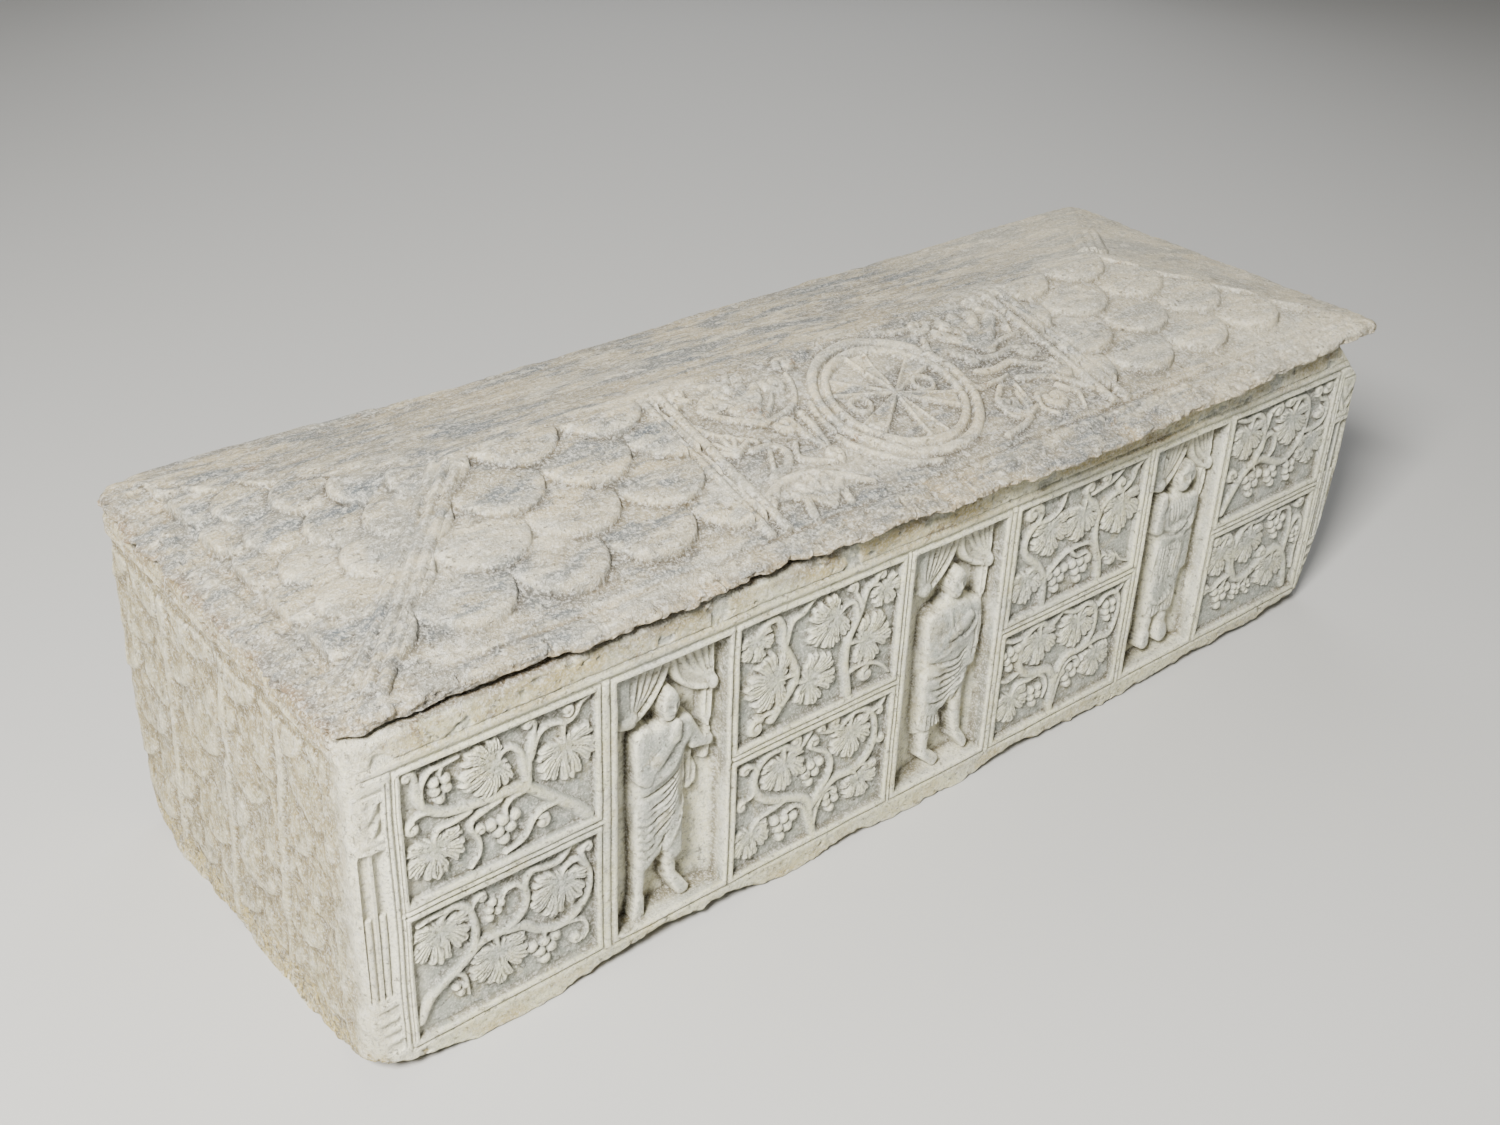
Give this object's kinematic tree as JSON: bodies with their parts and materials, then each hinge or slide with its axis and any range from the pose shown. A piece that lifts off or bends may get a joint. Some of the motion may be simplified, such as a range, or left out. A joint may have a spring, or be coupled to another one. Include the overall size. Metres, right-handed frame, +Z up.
{
  "type": "stone sarcophagus",
  "caption": "Carved stone coffin: hollow chest with vine panels and figures in niches, closed by a loose hipped lid with scales and a medallion.",
  "frame": {"origin": "middle of the bounding box's foot, on the plane that the chest stands on", "axes": "+X along the chest, to the right of someone who faces the carved front; -Y out of the carved front; +Z up"},
  "size_m": [2.118, 0.7948, 0.6925],
  "materials": {
    "chest_stone": "matt, weathered marble with ochre patina",
    "lid_stone": "matt, weathered blue-grey veined marble"
  },
  "bodies": {
    "root": {"chest": "chest_stone", "lid": "lid_stone"}
  },
  "joints": []
}
